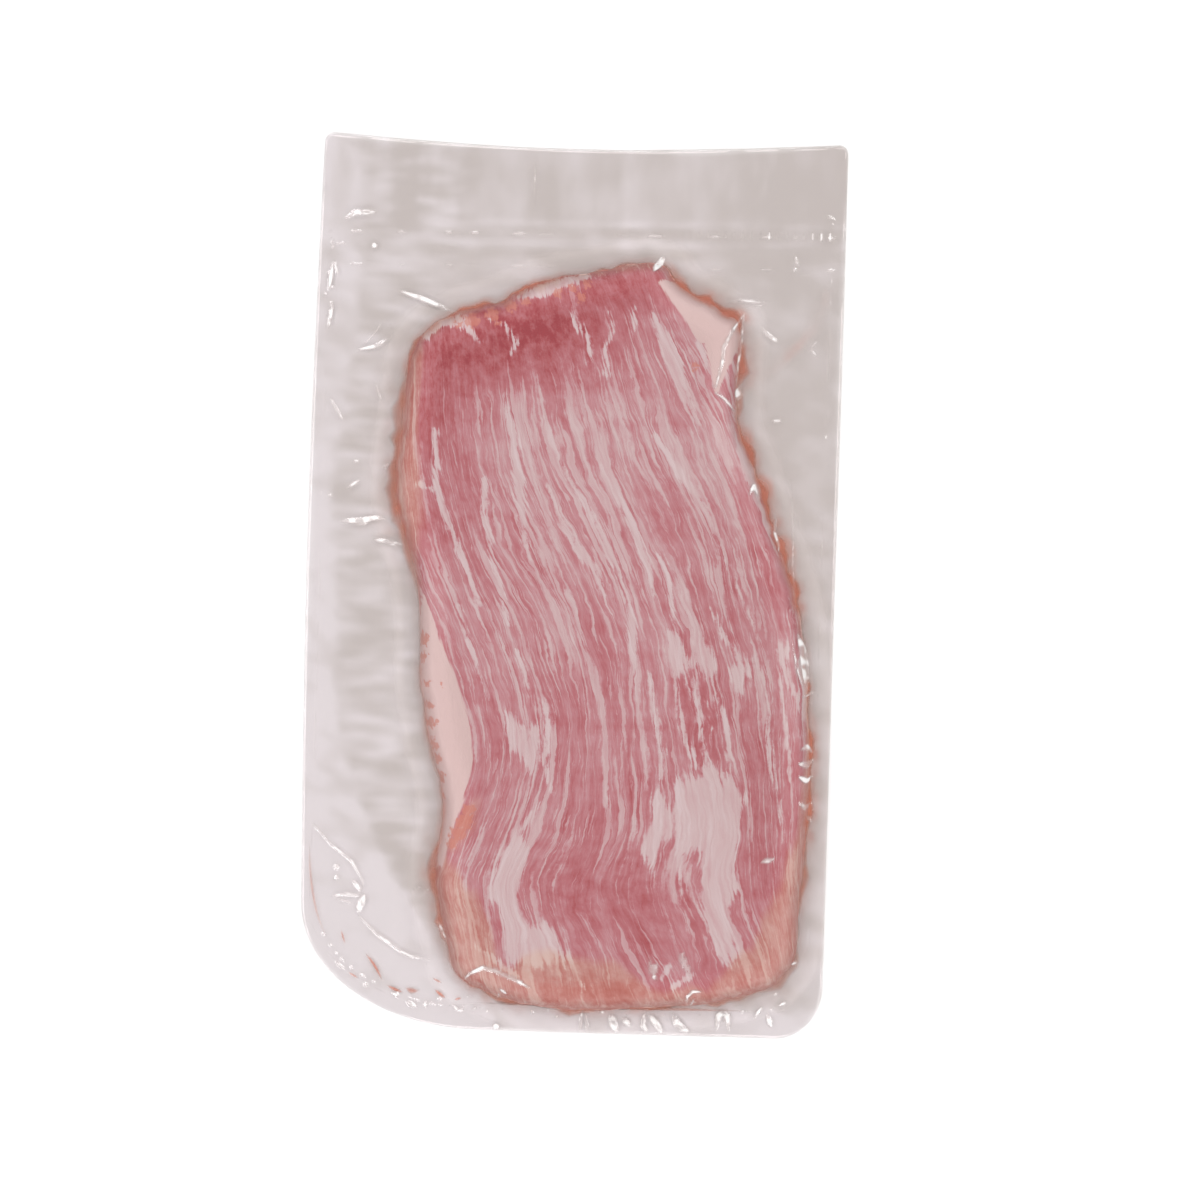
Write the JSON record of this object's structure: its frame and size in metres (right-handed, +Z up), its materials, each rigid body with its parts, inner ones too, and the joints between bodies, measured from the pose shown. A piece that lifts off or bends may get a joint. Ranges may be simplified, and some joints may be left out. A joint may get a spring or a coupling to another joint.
{
  "type": "vacuum pack of pork jowl",
  "caption": "Flat clear pouch vacuum sealed round a slab of marbled pork, lying on its back, with an open flap past the seal.",
  "frame": {"origin": "middle of the pack's outline, on the surface it lies on", "axes": "+X to the pack's right, +Y to the open flap past the vacuum seal, +Z up out of the shown face"},
  "size_m": [0.179, 0.3032, 0.0133],
  "materials": {
    "film": "clear glossy film, a little hazy, creased where it is slack",
    "meat": "raw pink lean meat streaked with cream white fat, moist",
    "juice": "thin film of clear orange pink meat juice"
  },
  "bodies": {
    "root": {"vacuum_pack": "film"}
  },
  "joints": []
}
